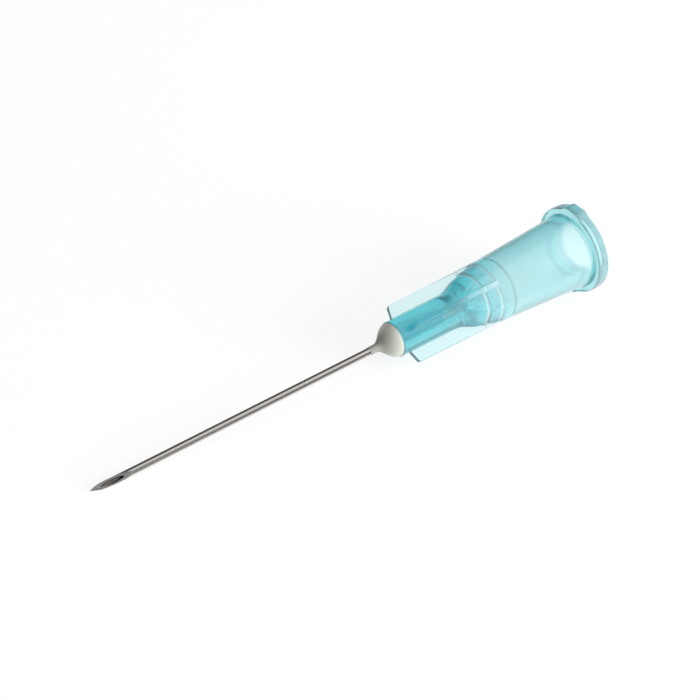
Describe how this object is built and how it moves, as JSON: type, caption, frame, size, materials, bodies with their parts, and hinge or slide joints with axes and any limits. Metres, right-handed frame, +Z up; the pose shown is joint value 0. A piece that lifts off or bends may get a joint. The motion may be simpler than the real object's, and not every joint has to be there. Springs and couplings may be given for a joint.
{
  "type": "hypodermic needle",
  "caption": "Hypodermic needle with a bevelled steel tube, bonded by epoxy into a translucent blue Luer hub with nose fins and lock lugs, lying at rest.",
  "frame": {"origin": "on the surface that the needle lies on, under the middle of its outline", "axes": "+X along the needle from its point towards the hub's open mouth, +Y to the side, +Z up; the bore axis lies in the XZ plane and rises about 4.3 degrees towards the mouth, because the needle rests on its point and on a lug of the mouth flange"},
  "size_m": [0.0496, 0.0074, 0.0078],
  "materials": {
    "hub_plastic": "translucent moulded polypropylene, smooth",
    "needle_steel": "polished drawn stainless steel, ground bevel",
    "epoxy": "opaque grey-white cured adhesive"
  },
  "bodies": {
    "root": {"hub": "hub_plastic", "cannula": "needle_steel", "adhesive": "epoxy"}
  },
  "joints": []
}
